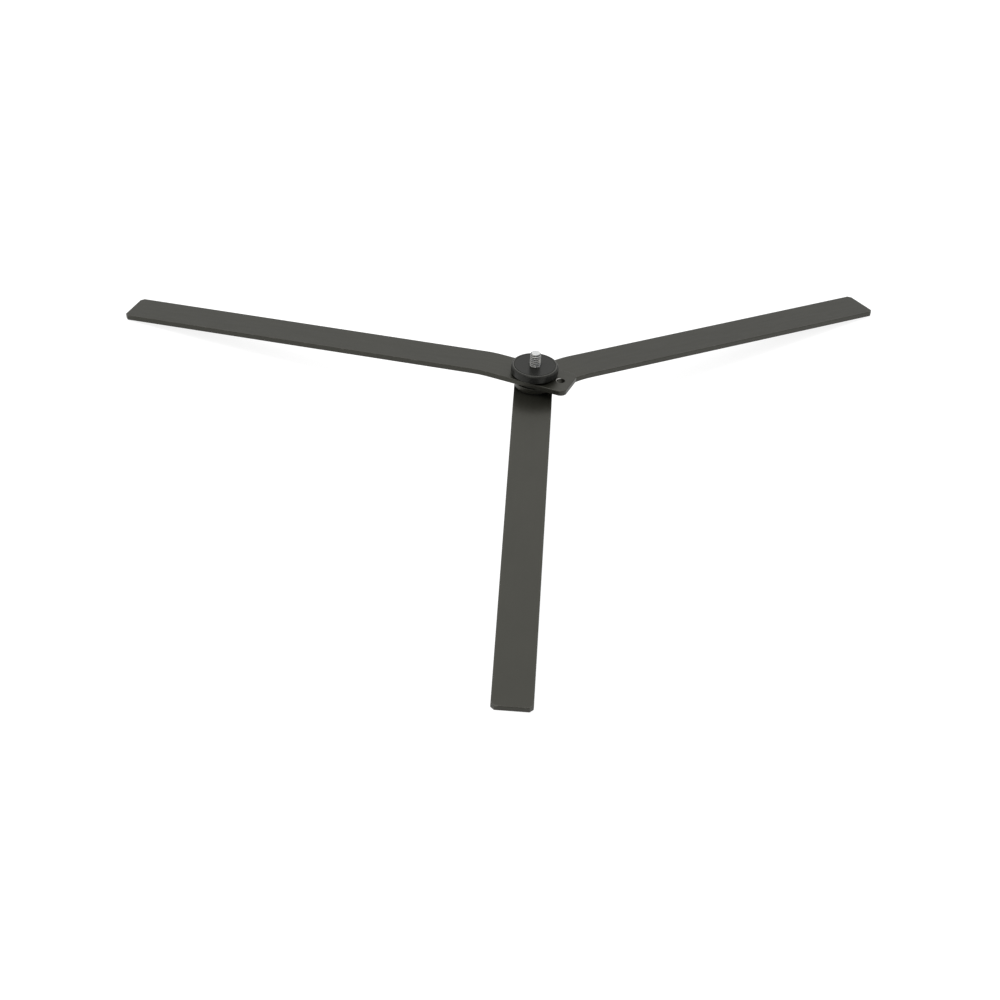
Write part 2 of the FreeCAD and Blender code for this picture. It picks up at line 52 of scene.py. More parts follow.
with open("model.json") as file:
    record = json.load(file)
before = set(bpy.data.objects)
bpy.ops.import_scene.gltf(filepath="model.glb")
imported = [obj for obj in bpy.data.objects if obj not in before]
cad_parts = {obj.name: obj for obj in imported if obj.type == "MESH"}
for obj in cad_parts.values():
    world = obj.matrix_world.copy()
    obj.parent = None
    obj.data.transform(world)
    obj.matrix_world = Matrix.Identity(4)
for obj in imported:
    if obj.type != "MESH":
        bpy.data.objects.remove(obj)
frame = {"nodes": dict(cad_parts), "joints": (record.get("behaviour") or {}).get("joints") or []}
cad_low, cad_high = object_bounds()
nodes = frame["nodes"]

# %% [markdown]
# ## The stack's own upright
#
# The legs are alike but lie one above the other, so when all three tips touch the floor the bolt
# leans by about a degree. It is easier to model every piece upright, on its own axes, and lean it
# once at the end. The lean comes from the axis of the disc's joint, and the sizes are measured on
# the frame's nodes after they are turned back upright, so nothing is typed in twice.

# %% Turn the frame's nodes upright and measure them
UP = Vector((0, 0, 1))
joint_axes = {joint["name"]: Vector(joint["axis"]) for joint in frame["joints"]}
bolt_axis = joint_axes["disc_turn"].normalized()
lean = UP.rotation_difference(bolt_axis).to_matrix().to_4x4()


def upright_points(node, turn=Matrix.Identity(4)):
    """A node's points with the stack stood upright and then turned by one more matrix."""
    back = (lean @ turn).inverted()
    return [back @ vertex.co for vertex in nodes[node].data.vertices]


def reach_of(node):
    """The largest distance of a node's points from the bolt's axis."""
    return max(point.xy.length for point in upright_points(node))


def levels_of(node):
    """A node's lowest and highest level along the bolt."""
    levels = [point.z for point in upright_points(node)]
    return min(levels), max(levels)


disc_radius = reach_of("clamp_disc")
disc_foot, disc_face = levels_of("clamp_disc")
bolt_bottom, bolt_top = levels_of("pivot_bolt")
print("lean %.2f degrees" % math.degrees(UP.angle(bolt_axis)))
print("disc radius %.2f mm, bolt top %.2f mm above its face"
      % (disc_radius / MM, (bolt_top - disc_face) / MM))

# %% [markdown]
# ## Sizes of the flat bars
#
# A leg's heading is the direction of its farthest points. Turned back by that heading, the leg
# lies along +X with its level part at the bolt, so its width, its reach and what it has behind
# the bolt are plain extents.

# %% Measure the legs
NEAR_BOLT = 12 * MM
TIP_SHARE = 0.98


def heading_of(leg):
    """The matrix that turns +X to where a leg points."""
    points = upright_points(leg)
    farthest = max(point.xy.length for point in points)
    tip = [point for point in points if point.xy.length > TIP_SHARE * farthest]
    middle = sum(tip, Vector()) / len(tip)
    return Matrix.Rotation(math.atan2(middle.y, middle.x), 4, "Z")


def leg_sizes(leg):
    """Heading, width, reach, length behind the bolt, and the levels of the part at the bolt."""
    heading = heading_of(leg)
    points = upright_points(leg, heading)
    hub = [point.z for point in points if abs(point.x) < NEAR_BOLT]
    return {
        "heading": heading,
        "width": max(point.y for point in points) - min(point.y for point in points),
        "reach": max(point.x for point in points),
        "back": -min(point.x for point in points),
        "top": max(hub),
        "thickness": max(hub) - min(hub),
        "low": min(point.z for point in points),
    }


LEGS = ("bottom_leg", "middle_leg", "top_leg")
legs = {leg: leg_sizes(leg) for leg in LEGS}
bar_width = legs["top_leg"]["width"]
bar_thickness = legs["top_leg"]["thickness"]
for leg, sizes in legs.items():
    print(leg, {name: round(value / MM, 3) for name, value in sizes.items() if name != "heading"})

# %% [markdown]
# ## Tools for every piece
#
# A few small helpers serve all the pieces. One turns a half outline round the bolt's axis, as a
# lathe would. One cuts or joins two solids with a Boolean modifier, which keeps the result
# closed. The last one finishes a piece: it stands it in the stack, shades it smooth across the
# small roundings and flat on the broad faces, and ties it to its moving body.

# %% Helpers: lathe work and Boolean cuts
LATHE_STEPS = 128
HOLE_SIDES = 64
WELD = 0.002 * MM


def turned(outline, closed=True):
    """A solid of revolution about Z from a half outline of (radius, level) points.

    An open outline starts and ends on the axis.
    """
    work = bmesh.new()
    points = [work.verts.new((radius, 0, level)) for radius, level in outline]
    pairs = list(zip(points, points[1:]))
    if closed:
        pairs.append((points[-1], points[0]))
    edges = [work.edges.new(pair) for pair in pairs]
    bmesh.ops.spin(
        work, geom=points + edges, cent=(0, 0, 0), axis=UP, angle=math.tau,
        steps=LATHE_STEPS, use_merge=True,
    )
    bmesh.ops.remove_doubles(work, verts=work.verts, dist=WELD)
    bmesh.ops.recalc_face_normals(work, faces=work.faces)
    return work


def arc(centre_radius, centre_level, radius, first, last, steps):
    """Points of a lathe outline along an arc, its angles in degrees from straight out."""
    angles = [math.radians(first + (last - first) * step / steps) for step in range(steps + 1)]
    return [
        (centre_radius + radius * math.cos(angle), centre_level + radius * math.sin(angle))
        for angle in angles
    ]


def scratch_object(work):
    """A plain object for a bmesh, so that a modifier can work on it."""
    mesh = bpy.data.meshes.new("scratch")
    work.to_mesh(mesh)
    scratch = bpy.data.objects.new("scratch", mesh)
    bpy.context.scene.collection.objects.link(scratch)
    return scratch


def combined(work, tool, operation):
    """Cut one solid with another (DIFFERENCE) or grow them together (UNION)."""
    blank, cutter = scratch_object(work), scratch_object(tool)
    cut = blank.modifiers.new("Cut", "BOOLEAN")
    cut.operation = operation
    cut.solver = "EXACT"
    cut.object = cutter
    result = bmesh.new()
    result.from_object(blank, bpy.context.evaluated_depsgraph_get())
    for scratch in (blank, cutter):
        bpy.data.meshes.remove(scratch.data)
    work.free()
    tool.free()
    return result


def cylinder(radius, bottom, top):
    """A drill: a round solid about Z between two levels."""
    work = bmesh.new()
    bmesh.ops.create_cone(
        work, cap_ends=True, segments=HOLE_SIDES, radius1=radius, radius2=radius,
        depth=top - bottom,
    )
    bmesh.ops.translate(work, vec=(0, 0, (top + bottom) / 2), verts=work.verts)
    return work


# %% Helpers: finishing a piece
SMOOTH_BELOW = math.radians(35)
BROAD_FACES_FIRST = 100


def finish_piece(name, work, placement, body, node, finish):
    """Stand a bmesh in the stack as a finished piece in the place of one of the frame's nodes."""
    bmesh.ops.transform(work, matrix=placement, verts=work.verts)
    open_edges = sum(not edge.is_manifold for edge in work.edges)
    mesh = bpy.data.meshes.new(name)
    work.to_mesh(mesh)
    work.free()
    mesh.shade_smooth()
    mesh.set_sharp_from_angle(angle=SMOOTH_BELOW)
    mesh.materials.append(finish)
    piece = bpy.data.objects.new(name, mesh)
    bpy.context.scene.collection.objects.link(piece)
    flats = piece.modifiers.new("Flat faces", "WEIGHTED_NORMAL")
    flats.keep_sharp = True
    flats.weight = BROAD_FACES_FIRST
    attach(piece, body)
    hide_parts(node)
    print("%s: %d faces, %d open edges" % (name, len(mesh.polygons), open_edges))


# %% [markdown]
# ## Shader maths as expressions
#
# A finish is easier to read as arithmetic than as a list of links. `Socket` wraps one output of
# a node, and its operators add Math nodes. `Wiring` holds the nodes of a material or of the
# room, and its `node` method adds every other kind of node: the settings are set first and then
# the sockets are filled with numbers or with other sockets. `Finish` is the wiring of one
# material, with short ways to the nodes that a finish needs most.

# %% A socket that does arithmetic
class Socket:
    """One node's output, so that shader maths reads as an expression."""

    def __init__(self, tree, output):
        self.tree = tree
        self.output = output

    def math(self, operation, *operands):
        """Add one Math node."""
        step = self.tree.nodes.new("ShaderNodeMath")
        step.operation = operation
        for entry, operand in zip(step.inputs, operands):
            if isinstance(operand, Socket):
                self.tree.links.new(operand.output, entry)
            else:
                entry.default_value = operand
        return Socket(self.tree, step.outputs[0])

    def __add__(self, other):
        return self.math("ADD", self, other)

    __radd__ = __add__

    def __sub__(self, other):
        return self.math("SUBTRACT", self, other)

    def __rsub__(self, other):
        return self.math("SUBTRACT", other, self)

    def __mul__(self, other):
        return self.math("MULTIPLY", self, other)

    __rmul__ = __mul__

    def __abs__(self):
        return self.math("ABSOLUTE", self)

    def least(self, other):
        return self.math("MINIMUM", self, other)

    def most(self, other):
        return self.math("MAXIMUM", self, other)


# %% One method for every other node
class Wiring:
    """The nodes of one material or of the room."""

    def __init__(self, tree):
        self.tree = tree

    def node(self, kind, settings, sockets, output=0):
        """Add a node: its settings first, then the values or links of its sockets."""
        step = self.tree.nodes.new(kind)
        for name, value in settings.items():
            setattr(step, name, value)
        for key, value in sockets.items():
            self.fill(step.inputs[key], value)
        return Socket(self.tree, step.outputs[output])

    def fill(self, entry, value):
        """Link a socket to an input, or set the input's own number or colour."""
        if isinstance(value, Socket):
            self.tree.links.new(value.output, entry)
        else:
            entry.default_value = value

    def parts(self, vector):
        """The x, y and z of a vector as three sockets."""
        return [
            self.node("ShaderNodeSeparateXYZ", {}, {"Vector": vector}, axis) for axis in "XYZ"
        ]


# %% A material
# a Mix node has a set of sockets for each data type, and these are the places of the colour's
MIX_SHARE = 0
MIX_FIRST = 6
MIX_SECOND = 7
MIX_COLOUR = 2


class Finish(Wiring):
    """One material: its Principled shader and the nodes that a finish needs most."""

    def __init__(self, name, **shader_numbers):
        self.material = bpy.data.materials.new(name)
        self.material.use_nodes = True
        super().__init__(self.material.node_tree)
        self.shader = self.tree.nodes["Principled BSDF"]
        self.feed(**shader_numbers)

    def feed(self, **sockets):
        """Feed or set sockets of the shader, such as Base_Color or Roughness."""
        for name, value in sockets.items():
            self.fill(self.shader.inputs[name.replace("_", " ")], value)

    def own_axes(self, placement):
        """Object coordinates brought back to the axes on which a piece was modelled."""
        place = self.node("ShaderNodeTexCoord", {}, {}, "Object")
        return self.node(
            "ShaderNodeMapping", {"vector_type": "TEXTURE"},
            {"Vector": place, "Location": placement.translation,
             "Rotation": placement.to_euler()},
        )

    def stretched(self, vector, scale):
        """A vector scaled by a different number along each axis."""
        return self.node("ShaderNodeVectorMath", {"operation": "MULTIPLY"}, {0: vector, 1: scale})

    def from_axis(self, axes):
        """The distance from the z axis."""
        flat = self.stretched(axes, (1, 1, 0))
        return self.node("ShaderNodeVectorMath", {"operation": "LENGTH"}, {0: flat}, "Value")

    def noise(self, vector, scale, detail=2.0, roughness=0.5):
        """Cloudy noise from 0 to 1, its scale in patches per metre."""
        return self.node(
            "ShaderNodeTexNoise", {},
            {"Vector": vector, "Scale": scale, "Detail": detail, "Roughness": roughness},
        )

    def ramp(self, value, low, high):
        """0 below low and 1 above high; low may be the larger, which turns it round."""
        sockets = {"Value": value, "From Min": low, "From Max": high}
        if low > high:
            sockets.update({"From Min": high, "From Max": low, "To Min": 1.0, "To Max": 0.0})
        return self.node("ShaderNodeMapRange", {"interpolation_type": "SMOOTHSTEP"}, sockets)

    def mix(self, share, first, second):
        """The first colour where share is 0 and the second where it is 1."""
        return self.node(
            "ShaderNodeMix", {"data_type": "RGBA"},
            {MIX_SHARE: share, MIX_FIRST: first, MIX_SECOND: second}, MIX_COLOUR,
        )

    def bump(self, height, distance, strength=1.0, over=None):
        """A bump of so many metres, laid over another bump if there is one."""
        sockets = {"Height": height, "Distance": distance, "Strength": strength}
        if over is not None:
            sockets["Normal"] = over
        return self.node("ShaderNodeBump", {}, sockets)


# %% [markdown]
# ## Leg paint
#
# The bars carry a thin satin paint, a dark grey with a little olive in it. Close up such paint is
# never one tone: the sprayed film has a fine orange peel, wiping leaves long faint streaks along
# the bar, and the film thins at the sheared edges, where it shows a lighter, duller line. One side
# of the small hole's upper rim is painted as plain metallic steel, a painted glint where the rim
# catches the light. All of it is placed on the bar's own axes, so it runs along each leg whatever
# its heading. The distance to the outline is the least of three straight distances: to the side,
# to the tip and to the snipped corner.

# %% Sizes of the bars that the paint and the modelling share
TETHER_DISTANCE = 16.3 * MM
TETHER_RADIUS = 2.4 * MM
SLOPE = math.radians(7)
BEND_DISTANCE = 29.3 * MM
TIP_SNIP = 2 * MM
EDGE_ROUND = 0.4 * MM
RIM_ROUND = 0.3 * MM

print("tips snipped by %.1f mm, outline rounded by %.1f mm" % (TIP_SNIP / MM, EDGE_ROUND / MM))

# %% Tones, wear and grain of the paint
PAINT_IOR = 1.47
PAINT = (0.0078, 0.0078, 0.0058, 1)
PAINT_LIGHT = (0.0105, 0.0104, 0.0079, 1)
WORN_PAINT = (0.036, 0.0355, 0.033, 1)
OLIVE_SHEEN = (1.0, 0.985, 0.86, 1)
# the colour of the painted glint on the hole's upper rim
GLINT_STEEL = (0.55, 0.54, 0.52, 1)

# from where an edge's wear begins to where it is full, measured in from the edge
EDGE_WEAR = (1.3 * MM, 0.1 * MM)
CORNER_WEAR = (2.2 * MM, 0)
CORNER_EXTRA = 0.2
EVEN_WEAR = 0.1
WEAR_BREAKS = (0.50, 0.75)
# where the painted glint lies on the hole's upper rim: its ring, its level and its side
GLINT_RING = (TETHER_RADIUS + 0.3 * MM, TETHER_RADIUS + 0.1 * MM)
GLINT_LEVEL = (-0.6 * MM, -0.25 * MM)
GLINT_SIDE = (0, 2 * MM)

# patches in each metre; the streaks' three are along the bar, across it and up
CLOUDS = 55
STREAKS = (9, 420, 420)
BREAKS = 260
PEEL = 1500
GRAIN = 5200
PEEL_HEIGHT = 0.03 * MM
GRAIN_HEIGHT = 0.012 * MM
RELIEF = 0.6
STREAK_SHARE = 0.25
MIDDLE_TONES = (0.3, 0.7)

SATIN = 0.36
SATIN_DRIFT = 0.05
WORN_DULLER = 0.08

# %% The paint
def leg_paint(leg, placement):
    """Satin olive grey paint, laid along one leg's own axes."""
    paint = Finish(leg + "_paint", IOR=PAINT_IOR, Specular_Tint=OLIVE_SHEEN)
    axes = paint.own_axes(placement)
    along, across, up = paint.parts(axes)

    # distance in from the outline, and down from the broad faces of the bent bar
    run = (along - BEND_DISTANCE).most(0)
    depth = up + run * math.tan(SLOPE)
    side = bar_width / 2 - abs(across)
    tip = legs[leg]["reach"] - along
    snip = (side + tip - TIP_SNIP) * math.sqrt(0.5)
    inward = side.least(tip).least(snip)
    face = (0 - depth).least(depth + bar_thickness)
    edge = paint.ramp(inward, *EDGE_WEAR) * paint.ramp(face, *EDGE_WEAR)

    clouds = paint.noise(axes, CLOUDS, detail=4)
    streaks = paint.noise(paint.stretched(axes, STREAKS), 1.0, detail=5, roughness=0.6)
    breaks = paint.noise(axes, BREAKS, detail=5, roughness=0.65)
    corner = paint.ramp(snip, *CORNER_WEAR)
    worn = EVEN_WEAR + paint.ramp(breaks + CORNER_EXTRA * corner, *WEAR_BREAKS)
    worn = edge * worn.least(1)
    lightness = clouds * (1 - STREAK_SHARE) + streaks * STREAK_SHARE
    tone = paint.mix(paint.ramp(lightness, *MIDDLE_TONES), PAINT, PAINT_LIGHT)
    colour = paint.mix(worn, tone, WORN_PAINT)

    drift = paint.ramp(streaks, *MIDDLE_TONES) + clouds
    satin = SATIN + SATIN_DRIFT * drift + WORN_DULLER * worn
    peel = paint.bump(paint.noise(axes, PEEL, detail=2), PEEL_HEIGHT, RELIEF)
    relief = paint.bump(paint.noise(axes, GRAIN, detail=2), GRAIN_HEIGHT, RELIEF, over=peel)
    if leg == "top_leg":
        # painted glint: one side of the hole's upper rim, toward the bolt, is made metallic steel
        # where the rim catches the light
        from_hole = paint.node(
            "ShaderNodeVectorMath", {"operation": "DISTANCE"},
            {0: paint.stretched(axes, (1, 1, 0)), 1: (-TETHER_DISTANCE, 0, 0)}, "Value",
        )
        rim_glint = paint.ramp(from_hole, *GLINT_RING) * paint.ramp(up, *GLINT_LEVEL)
        rim_glint = rim_glint * paint.ramp(along + TETHER_DISTANCE, *GLINT_SIDE)
        colour = paint.mix(rim_glint, colour, GLINT_STEEL)
        paint.feed(Metallic=rim_glint)
    paint.feed(Base_Color=colour, Roughness=satin, Normal=relief)
    return paint.material


# %% [markdown]
# ## The legs
#
# A press brake bends a flat bar once, close to the bolt, so that the stack stands clear of the
# floor. The same moves make it here: a block for the level part, its end face spun about the
# centre of the bend, and then pulled straight out to the tip. Bevels do the rest. A bevel as wide
# as half the bar turns a square end into a half circle, a one-segment bevel snips the tip's
# corners, and a small three-segment bevel takes the sharpness off the whole outline.

# %% Bend the bar
BEND_INNER_RADIUS = 80 * MM
BEND_STEPS = 8
bend_outer_radius = BEND_INNER_RADIUS + bar_thickness
bend_start = BEND_DISTANCE - bend_outer_radius * math.tan(SLOPE / 2)
print("the bend starts %.2f mm from the bolt" % (bend_start / MM))


def kept(geometry, kind):
    """Only the items of one kind, such as bmesh.types.BMVert, of what an operator returned."""
    return [item for item in geometry if isinstance(item, kind)]


def bent_bar(back, reach):
    """A square-ended bar along +X, its level top at height 0, with one bend and a long run."""
    bar = bmesh.new()
    bmesh.ops.create_cube(bar, size=1)
    bmesh.ops.scale(bar, vec=(bend_start + back, bar_width, bar_thickness), verts=bar.verts)
    bmesh.ops.translate(bar, vec=((bend_start - back) / 2, 0, -bar_thickness / 2), verts=bar.verts)
    end = max(bar.faces, key=lambda face: face.calc_center_median().x)
    rim = end.edges[:]
    bmesh.ops.delete(bar, geom=[end], context="FACES_ONLY")
    bend = bmesh.ops.spin(
        bar, geom=rim, cent=(bend_start, 0, -bend_outer_radius), axis=(0, 1, 0),
        angle=SLOPE, steps=BEND_STEPS,
    )
    rim = kept(bend["geom_last"], bmesh.types.BMEdge)
    top_of_rim = max((edge.verts[0].co for edge in rim), key=lambda place: place.z).x
    run = (reach - top_of_rim) / math.cos(SLOPE)
    pulled = bmesh.ops.extrude_edge_only(bar, edges=rim)["geom"]
    bmesh.ops.translate(
        bar, vec=(run * math.cos(SLOPE), 0, -run * math.sin(SLOPE)),
        verts=kept(pulled, bmesh.types.BMVert),
    )
    bmesh.ops.holes_fill(bar, edges=[edge for edge in bar.edges if edge.is_boundary])
    bmesh.ops.recalc_face_normals(bar, faces=bar.faces)
    return bar


# %% Round and snip its corners
HUB_ROUND_STEPS = 32
TAB_ROUND_STEPS = 10
SOFT_STEPS = 3
OUTLINE_ANGLE = math.radians(60)


def upright_edges(bar, low, high):
    """The edges through the bar's thickness between two distances from the bolt."""
    return [
        edge for edge in bar.edges
        if abs(edge.verts[0].co.y - edge.verts[1].co.y) < WELD
        and abs(edge.verts[0].co.z - edge.verts[1].co.z) > bar_thickness / 2
        and all(low < vertex.co.x < high for vertex in edge.verts)
    ]


def bevelled(bar, edges, width, steps):
    """Round some edges by a width, or snip them off with a single step."""
    bmesh.ops.bevel(
        bar, geom=edges, offset=width, offset_type="OFFSET", segments=steps, profile=0.5,
        material=-1, affect="EDGES", loop_slide=True,
    )
    bmesh.ops.remove_doubles(bar, verts=bar.verts, dist=WELD)


def dressed_bar(back, reach, end_round, end_steps):
    """The bent bar with its hub end rounded, its tip snipped and its outline softened."""
    bar = bent_bar(back, reach)
    bevelled(bar, upright_edges(bar, -back - WELD, -back + WELD), end_round, end_steps)
    bevelled(bar, upright_edges(bar, reach - bar_thickness, reach + WELD), TIP_SNIP, 1)
    outline = [edge for edge in bar.edges if edge.calc_face_angle(0) > OUTLINE_ANGLE]
    bevelled(bar, outline, EDGE_ROUND, SOFT_STEPS)
    return bar


# %% Drill it
HOLE_CLEARANCE = 0.08 * MM
NECK_WIDTH = 6.4 * MM
NECK_CLEARANCE = 0.05 * MM
CREST_RADIUS = 3.1 * MM
well_below = -2 * bar_thickness
well_above = bar_thickness
print("bolt hole %.2f mm across" % (2 * (CREST_RADIUS + HOLE_CLEARANCE) / MM))


def with_bolt_hole(bar):
    """A round hole in which the leg turns on the bolt."""
    hole = cylinder(CREST_RADIUS + HOLE_CLEARANCE, well_below, well_above)
    return combined(bar, hole, "DIFFERENCE")


def with_square_hole(bar):
    """A square hole that keeps the bolt from turning."""
    width = NECK_WIDTH + 2 * NECK_CLEARANCE
    hole = bmesh.new()
    bmesh.ops.create_cube(hole, size=1)
    bmesh.ops.scale(hole, vec=(width, width, well_above - well_below), verts=hole.verts)
    return combined(bar, hole, "DIFFERENCE")


def with_tether_hole(bar):
    """A hole in the tab whose rims are rounded by the paint."""
    hole = cylinder(TETHER_RADIUS, well_below, well_above)
    centre = Vector((-TETHER_DISTANCE, 0, 0))
    bmesh.ops.translate(hole, vec=centre, verts=hole.verts)
    bar = combined(bar, hole, "DIFFERENCE")
    rims = [
        edge for edge in bar.edges
        if all(abs((vertex.co - centre).xy.length - TETHER_RADIUS) < WELD for vertex in edge.verts)
        and abs(edge.verts[0].co.z - edge.verts[1].co.z) < WELD
    ]
    bevelled(bar, rims, RIM_ROUND, SOFT_STEPS)
    return bar


# %% Make the three legs
BODY_OF_LEG = {"bottom_leg": "base", "middle_leg": "middle", "top_leg": "top"}
TAB_ROUND = 4 * MM

for leg, sizes in legs.items():
    if leg == "top_leg":
        bar = dressed_bar(sizes["back"], sizes["reach"], TAB_ROUND, TAB_ROUND_STEPS)
        bar = with_tether_hole(with_bolt_hole(bar))
    else:
        bar = dressed_bar(sizes["back"], sizes["reach"], bar_width / 2, HUB_ROUND_STEPS)
        bar = with_square_hole(bar) if leg == "bottom_leg" else with_bolt_hole(bar)
    low = min(vertex.co.z for vertex in bar.verts) + sizes["top"]
    print("%s lowest point off the frame's by %.3f mm" % (leg, (low - sizes["low"]) / MM))
    placement = lean @ sizes["heading"] @ Matrix.Translation((0, 0, sizes["top"]))
    finish_piece(
        leg + "_bar", bar, placement, BODY_OF_LEG[leg], leg,
        leg_paint(leg, placement),
    )

# %% [markdown]
# ## Plated steel
#
# The bolt is zinc plated: bright, but softer than chrome, with a faint yellow and blue cast in
# patches and fine turning lines round it. The threaded part is painted darker than the plain end,
# most of all in its roots: painted shade for its shaded flanks and hollows. The roughness carries
# most of the look, because a metal has little colour of its own to vary.

# %% Zinc plate
ZINC_WARM = (0.62, 0.615, 0.585, 1)
ZINC_COOL = (0.55, 0.565, 0.57, 1)
# the dark colour of the painted shade on the thread
THREAD_SHADE = (0.055, 0.053, 0.048, 1)
THREAD_DEPTH = 0.66 * MM
THREAD_START = -8 * MM
root_radius = CREST_RADIUS - THREAD_DEPTH
print("thread %.2f mm across its crests, %.2f mm across its roots"
      % (2 * CREST_RADIUS / MM, 2 * root_radius / MM))

PLATE_ROUGHNESS = 0.3
PATCHES = 420
TURNING_LINES = (150, 150, 6000)
LINE_HEIGHT = 0.01 * MM
SOFT_RELIEF = 0.5
CAST_TONES = (0.35, 0.65)
DULL_TONES = (0.4, 0.7)
PATCH_DULLER = 0.12
LINE_DULLER = 0.06

# the painted shade's fades: up from the thread's start, down from its end and in from its crests
SHADE_START = (0, 1 * MM)
SHADE_END = (-0.02 * MM, -0.15 * MM)
SHADE_ROOTS = (-0.01 * MM, -0.4 * MM)
THREAD_SHARE = 0.42
ROOT_SHADE = 0.25
SHADE_DULLER = 0.2


def zinc_plate(name):
    """Bright plating with turning lines round the bolt's axis and painted shade on the thread."""
    plate = Finish(name, Metallic=1.0)
    axes = plate.own_axes(lean)
    height = plate.parts(axes)[2]
    patches = plate.noise(axes, PATCHES, detail=3)
    lines = plate.noise(plate.stretched(axes, TURNING_LINES), 1.0, detail=3)
    threaded = plate.ramp(height - THREAD_START, *SHADE_START)
    threaded = threaded * plate.ramp(height - bolt_top, *SHADE_END)
    roots = threaded * plate.ramp(plate.from_axis(axes) - CREST_RADIUS, *SHADE_ROOTS)
    # painted shade: the thread darker than its plain end, and darker still in its roots
    thread_shade = threaded * THREAD_SHARE + roots * ROOT_SHADE * (1 + patches)
    colour = plate.mix(plate.ramp(patches, *CAST_TONES), ZINC_WARM, ZINC_COOL)
    colour = plate.mix(thread_shade, colour, THREAD_SHADE)
    dull = PLATE_ROUGHNESS + PATCH_DULLER * plate.ramp(patches, *DULL_TONES)
    dull = dull + LINE_DULLER * lines + SHADE_DULLER * thread_shade
    relief = plate.bump(lines, LINE_HEIGHT, SOFT_RELIEF)
    plate.feed(Base_Color=colour, Roughness=dull, Normal=relief)
    return plate.material


# %% [markdown]
# ## The pivot bolt
#
# It is a carriage bolt: a low domed head, a square neck that keeps it from turning in the bottom
# leg, and a thread. A thread is one outline, a single pitch high, carried round the axis while it
# climbs by a pitch a turn. Each turn's upper end then meets the next turn's start, so welding the
# doubles closes it. It is made a turn too long at both ends and cut off square, and its upper
# end is chamfered by drawing in whatever stands outside a cone.

# %% Cut the thread
PITCH = 1.27 * MM
TURN_STEPS = 48
CREST_SHARE = 0.16
ROOT_SHARE = 0.2
FLANK_CUTS = 3
SPARE_TURNS = 2
END_CHAMFER = 0.65 * MM


def wound_outline(bottom, turns):
    """One pitch of the thread's outline, carried round and up for so many turns."""
    flank = (1 - CREST_SHARE - ROOT_SHARE) / 2
    heights = (0, ROOT_SHARE, ROOT_SHARE + flank, ROOT_SHARE + flank + CREST_SHARE, 1)
    radii = (root_radius, root_radius, CREST_RADIUS, CREST_RADIUS, root_radius)
    rod = bmesh.new()
    points = [
        rod.verts.new((radius, 0, bottom + height * PITCH))
        for radius, height in zip(radii, heights)
    ]
    _, rising, _, falling = [rod.edges.new(pair) for pair in zip(points, points[1:])]
    bmesh.ops.subdivide_edges(rod, edges=[rising, falling], cuts=FLANK_CUTS)
    bmesh.ops.spin(
        rod, geom=rod.verts[:] + rod.edges[:], cent=(0, 0, 0), axis=UP,
        dvec=UP * PITCH / TURN_STEPS, angle=math.tau * turns, steps=TURN_STEPS * turns,
    )
    bmesh.ops.remove_doubles(rod, verts=rod.verts, dist=WELD)
    return rod


def cut_square(rod, level, side):
    """Cut off what is above a level (side 1) or below it (side -1) and close the cut."""
    bmesh.ops.bisect_plane(
        rod, geom=rod.verts[:] + rod.edges[:] + rod.faces[:], plane_co=(0, 0, level),
        plane_no=UP * side, clear_outer=True,
    )
    rim = [
        edge for edge in rod.edges
        if edge.is_boundary and all(abs(vertex.co.z - level) < WELD for vertex in edge.verts)
    ]
    bmesh.ops.contextual_create(rod, geom=rim)


def thread(bottom, top):
    """A closed threaded rod about Z, its lower end plain and its upper end chamfered."""
    turns = math.ceil((top - bottom) / PITCH) + SPARE_TURNS
    rod = wound_outline(bottom - PITCH, turns)
    cut_square(rod, bottom, -1)
    cut_square(rod, top, 1)
    for vertex in rod.verts:
        allowed = CREST_RADIUS - max(0, vertex.co.z - (top - END_CHAMFER))
        if vertex.co.xy.length > allowed:
            vertex.co.xy *= allowed / vertex.co.xy.length
    bmesh.ops.recalc_face_normals(rod, faces=rod.faces)
    return rod


# %% Forge the head and the neck
HEAD_RADIUS = 7.2 * MM
HEAD_HEIGHT = 3.6 * MM
NECK_HEIGHT = 2.9 * MM
NECK_ROOT = 1 * MM
RUN_OUT = 0.3 * MM
DOME_STEPS = 24

head_seat = bolt_bottom + HEAD_HEIGHT
dome_radius = (HEAD_RADIUS ** 2 + HEAD_HEIGHT ** 2) / (2 * HEAD_HEIGHT)
dome_angle = math.degrees(math.asin(HEAD_RADIUS / dome_radius))
dome = arc(0, bolt_bottom + dome_radius, dome_radius, -90, dome_angle - 90, DOME_STEPS)
shank = [
    (CREST_RADIUS, head_seat), (CREST_RADIUS, THREAD_START - THREAD_DEPTH),
    (root_radius, THREAD_START), (0, THREAD_START),
]
bolt = turned(dome + shank, closed=False)
neck = bmesh.new()
bmesh.ops.create_cube(neck, size=1)
bmesh.ops.scale(neck, vec=(NECK_WIDTH, NECK_WIDTH, NECK_HEIGHT + NECK_ROOT), verts=neck.verts)
bmesh.ops.translate(neck, vec=(0, 0, head_seat + (NECK_HEIGHT - NECK_ROOT) / 2), verts=neck.verts)
bolt = combined(bolt, neck, "UNION")
bolt = combined(bolt, thread(THREAD_START - RUN_OUT, bolt_top), "UNION")
bolt_placement = lean @ legs["bottom_leg"]["heading"]
finish_piece(
    "pivot_bolt_turned", bolt, bolt_placement, "base", "pivot_bolt",
    zinc_plate("zinc_bolt_plate"),
)

# %% [markdown]
# ## The clamp disc
#
# The disc is a turned nut: a flat top that the device rests on, a fine groove just inside the
# rim, a rounded shoulder, a straight side and a broken lower edge. One half outline, turned once
# round the axis, gives all of it. Its paint is darker and glossier than the legs', and the lathe
# has left faint rings under it. Handling has scuffed the shoulder, and a thin, lighter line on
# the lip outside the groove is a painted highlight along the rim.

